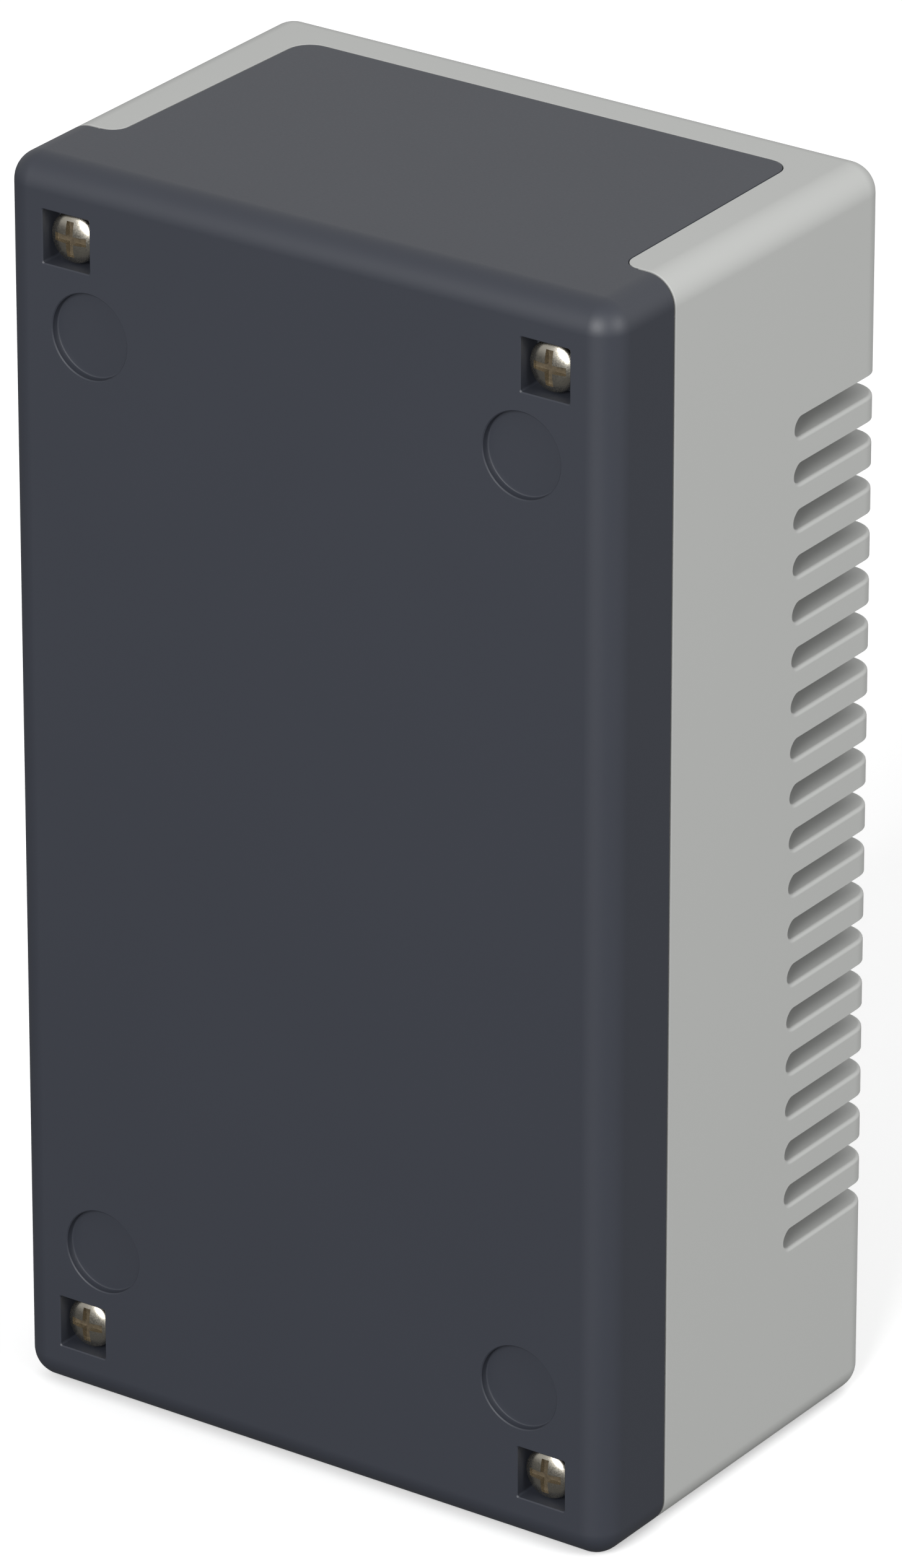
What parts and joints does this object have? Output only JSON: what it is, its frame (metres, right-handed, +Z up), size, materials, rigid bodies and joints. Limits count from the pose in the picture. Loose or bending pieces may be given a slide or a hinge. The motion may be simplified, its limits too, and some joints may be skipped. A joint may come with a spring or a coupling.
{
  "type": "ventilated inverter housing",
  "caption": "Two-shell moulded housing of a small inverter with side ventilation slots, back screws, foot recesses, a lift-off cover and the power electronics inside.",
  "frame": {"origin": "middle of the bottom end, at the centre of the width and the depth", "axes": "+Z up the length, +X across the width to the right of someone facing the dark back, +Y from the dark back face to the light front face"},
  "size_m": [0.1016, 0.0672, 0.19],
  "materials": {
    "graphite_abs": "fine spark-eroded moulding, dark graphite",
    "light_grey_abs": "fine spark-eroded moulding, light warm grey",
    "nickel_steel": "nickel-plated steel screw",
    "zinc_steel": "zinc-plated steel screw",
    "rubber": "moulded EPDM",
    "clear_acrylic": "clear moulded acrylic",
    "laminate": "glass-epoxy laminate under green solder mask",
    "terminal_nylon": "moulded green nylon",
    "black_nylon": "moulded black nylon",
    "clip_bronze": "rolled phosphor bronze",
    "fuse_ceramic": "glazed ceramic tube with nickel caps",
    "varistor_coating": "dipped epoxy coating",
    "ferrite": "sintered ferrite",
    "enamel_wire": "enamelled copper wire",
    "capacitor_sleeve": "shrunk plastic sleeve on an aluminium can",
    "sink_aluminium": "extruded, natural anodised",
    "chip_epoxy": "transfer-moulded epoxy",
    "bobbin_nylon": "moulded nylon",
    "winding_tape": "polyester tape",
    "film_case": "moulded case",
    "relay_case": "moulded case",
    "led_epoxy": "green tinted epoxy"
  },
  "bodies": {
    "base": {"base_shell": "graphite_abs", "dc_grommet": "rubber", "ac_grommet": "rubber", "main_board": "laminate", "control_board": "laminate", "dc_terminal_block": "terminal_nylon", "ac_terminal_block": "terminal_nylon", "fuse_base": "black_nylon", "fuse_clip_left": "clip_bronze", "fuse_clip_right": "clip_bronze", "surge_varistor": "varistor_coating", "dc_choke_core": "ferrite", "output_inductor_core": "ferrite", "dc_choke_winding_left": "enamel_wire", "dc_choke_winding_right": "enamel_wire", "output_inductor_winding": "enamel_wire", "heat_sink_left": "sink_aluminium", "heat_sink_right": "sink_aluminium", "transformer_core_left": "ferrite", "transformer_core_right": "ferrite", "transformer_bobbin": "bobbin_nylon", "transformer_winding": "winding_tape", "film_capacitor_1": "film_case", "film_capacitor_2": "film_case", "grid_relay": "relay_case", "control_chip": "chip_epoxy", "control_header": "black_nylon", "status_led": "led_epoxy", "board_screw_1": "zinc_steel", "power_transistor_1": "chip_epoxy", "transistor_screw_1": "zinc_steel", "board_screw_2": "zinc_steel", "power_transistor_2": "chip_epoxy", "transistor_screw_2": "zinc_steel", "board_screw_3": "zinc_steel", "power_transistor_3": "chip_epoxy", "transistor_screw_3": "zinc_steel", "board_screw_4": "zinc_steel", "power_transistor_4": "chip_epoxy", "transistor_screw_4": "zinc_steel", "bulk_capacitor_1": "capacitor_sleeve", "bulk_capacitor_2": "capacitor_sleeve", "bulk_capacitor_3": "capacitor_sleeve"},
    "cover": {"cover_shell": "light_grey_abs", "light_guide": "clear_acrylic"},
    "case_screw_top_left": {"case_screw_top_left": "nickel_steel"},
    "case_screw_top_right": {"case_screw_top_right": "nickel_steel"},
    "case_screw_bottom_left": {"case_screw_bottom_left": "nickel_steel"},
    "case_screw_bottom_right": {"case_screw_bottom_right": "nickel_steel"},
    "fuse_link": {"fuse_link": "fuse_ceramic"},
    "dc_clamp_screw_1": {"dc_clamp_screw_1": "zinc_steel"},
    "dc_clamp_screw_2": {"dc_clamp_screw_2": "zinc_steel"},
    "ac_clamp_screw_1": {"ac_clamp_screw_1": "zinc_steel"},
    "ac_clamp_screw_2": {"ac_clamp_screw_2": "zinc_steel"},
    "ac_clamp_screw_3": {"ac_clamp_screw_3": "zinc_steel"}
  },
  "joints": [
    {"name": "cover_lift", "type": "slide", "parent": "base", "child": "cover", "axis": [0, 1, 0], "range_m": [0, 0.05]},
    {"name": "case_screw_top_left_out", "type": "slide", "parent": "base", "child": "case_screw_top_left", "axis": [0, -1, 0], "range_m": [0, 0.025]},
    {"name": "case_screw_top_right_out", "type": "slide", "parent": "base", "child": "case_screw_top_right", "axis": [0, -1, 0], "range_m": [0, 0.025]},
    {"name": "case_screw_bottom_left_out", "type": "slide", "parent": "base", "child": "case_screw_bottom_left", "axis": [0, -1, 0], "range_m": [0, 0.025]},
    {"name": "case_screw_bottom_right_out", "type": "slide", "parent": "base", "child": "case_screw_bottom_right", "axis": [0, -1, 0], "range_m": [0, 0.025]},
    {"name": "fuse_pull", "type": "slide", "parent": "base", "child": "fuse_link", "axis": [0, 1, 0], "range_m": [0, 0.012]},
    {"name": "dc_clamp_screw_1_out", "type": "slide", "parent": "base", "child": "dc_clamp_screw_1", "axis": [0, 1, 0], "range_m": [0, 0.004]},
    {"name": "dc_clamp_screw_2_out", "type": "slide", "parent": "base", "child": "dc_clamp_screw_2", "axis": [0, 1, 0], "range_m": [0, 0.004]},
    {"name": "ac_clamp_screw_1_out", "type": "slide", "parent": "base", "child": "ac_clamp_screw_1", "axis": [0, 1, 0], "range_m": [0, 0.004]},
    {"name": "ac_clamp_screw_2_out", "type": "slide", "parent": "base", "child": "ac_clamp_screw_2", "axis": [0, 1, 0], "range_m": [0, 0.004]},
    {"name": "ac_clamp_screw_3_out", "type": "slide", "parent": "base", "child": "ac_clamp_screw_3", "axis": [0, 1, 0], "range_m": [0, 0.004]}
  ]
}
